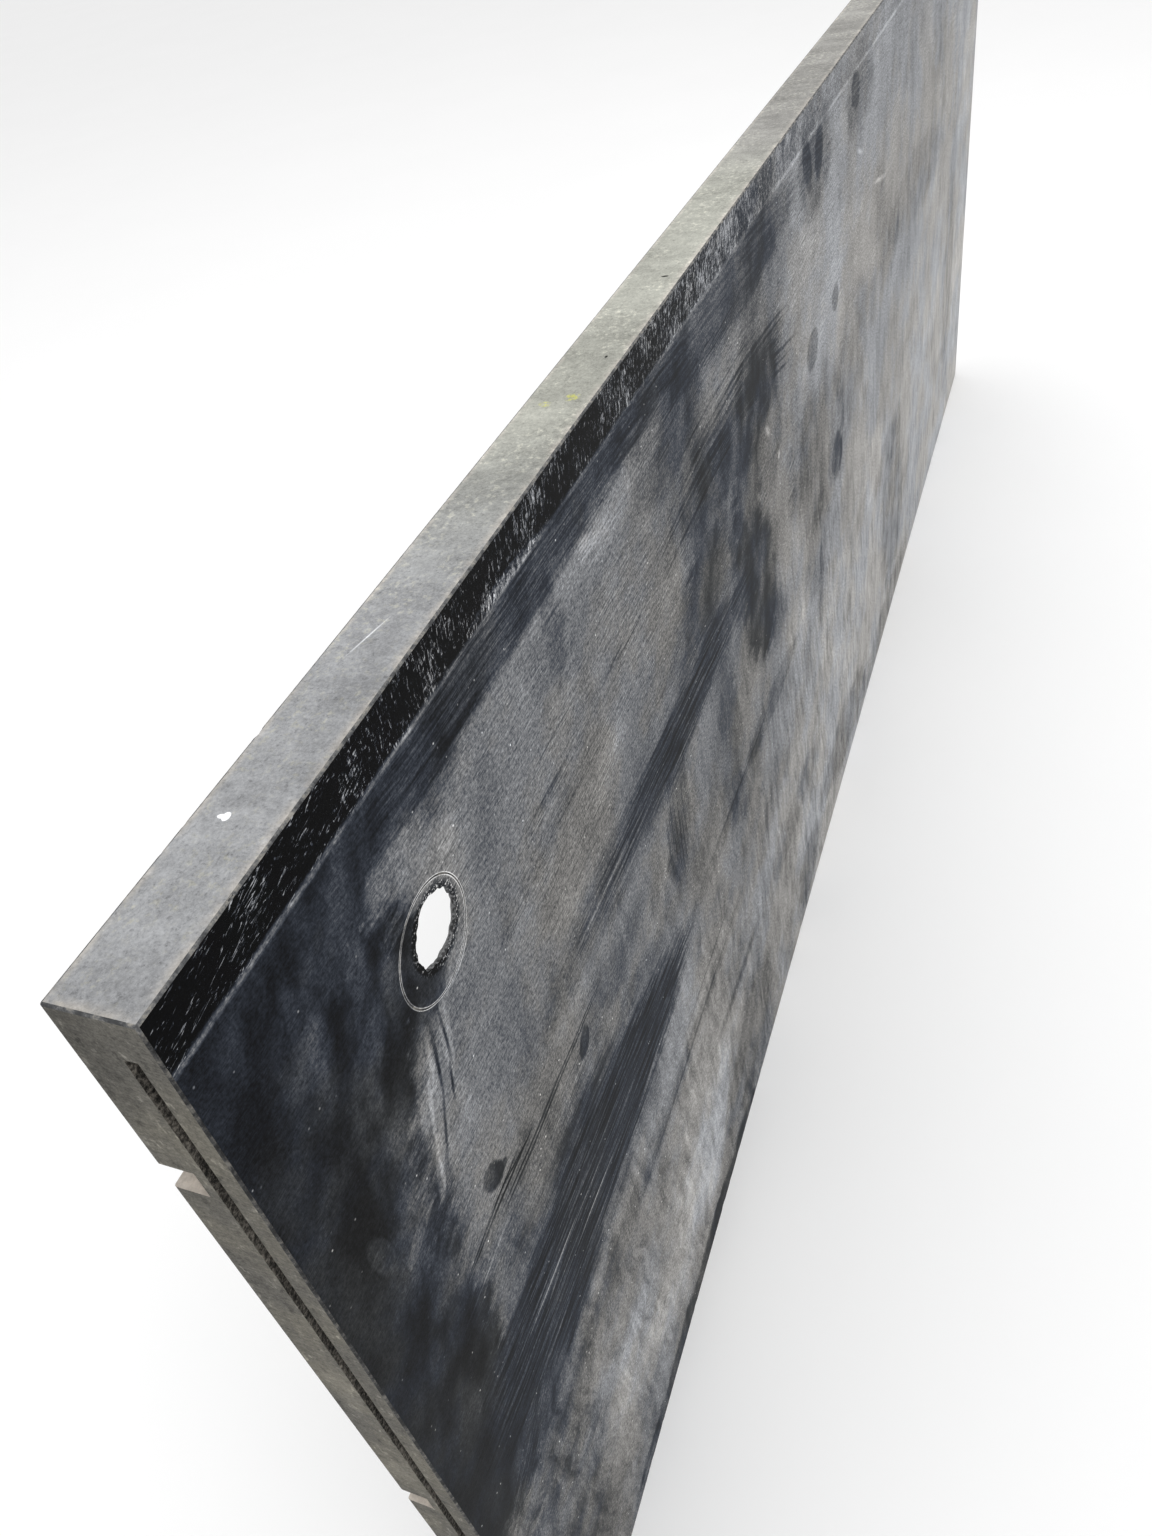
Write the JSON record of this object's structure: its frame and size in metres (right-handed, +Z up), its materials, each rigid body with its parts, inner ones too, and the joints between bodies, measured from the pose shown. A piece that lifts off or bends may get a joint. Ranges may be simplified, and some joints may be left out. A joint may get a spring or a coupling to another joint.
{
  "type": "granite slab",
  "caption": "Long dark stone slab standing on its edge, with a knocked-out hole near one corner, a groove sawn in one end and bars set in resin in channels along its back.",
  "frame": {"origin": "middle of the long edge that the slab stands on", "axes": "+X along the slab's length, away from the end with the groove; -Y is the honed work face's outward normal, +Y the back's; +Z up"},
  "size_m": [1.913, 0.03, 0.713],
  "materials": {
    "stone": "honed dark granite, dusty, scratched and water-marked",
    "steel": "plain round bar, lightly rusted",
    "resin": "hard polyester resin with stone dust in it"
  },
  "bodies": {
    "root": {"granite_slab": "stone", "bar_upper": "steel", "bar_middle": "steel", "bar_lower": "steel", "resin_upper": "resin", "resin_middle": "resin", "resin_lower": "resin"}
  },
  "joints": []
}
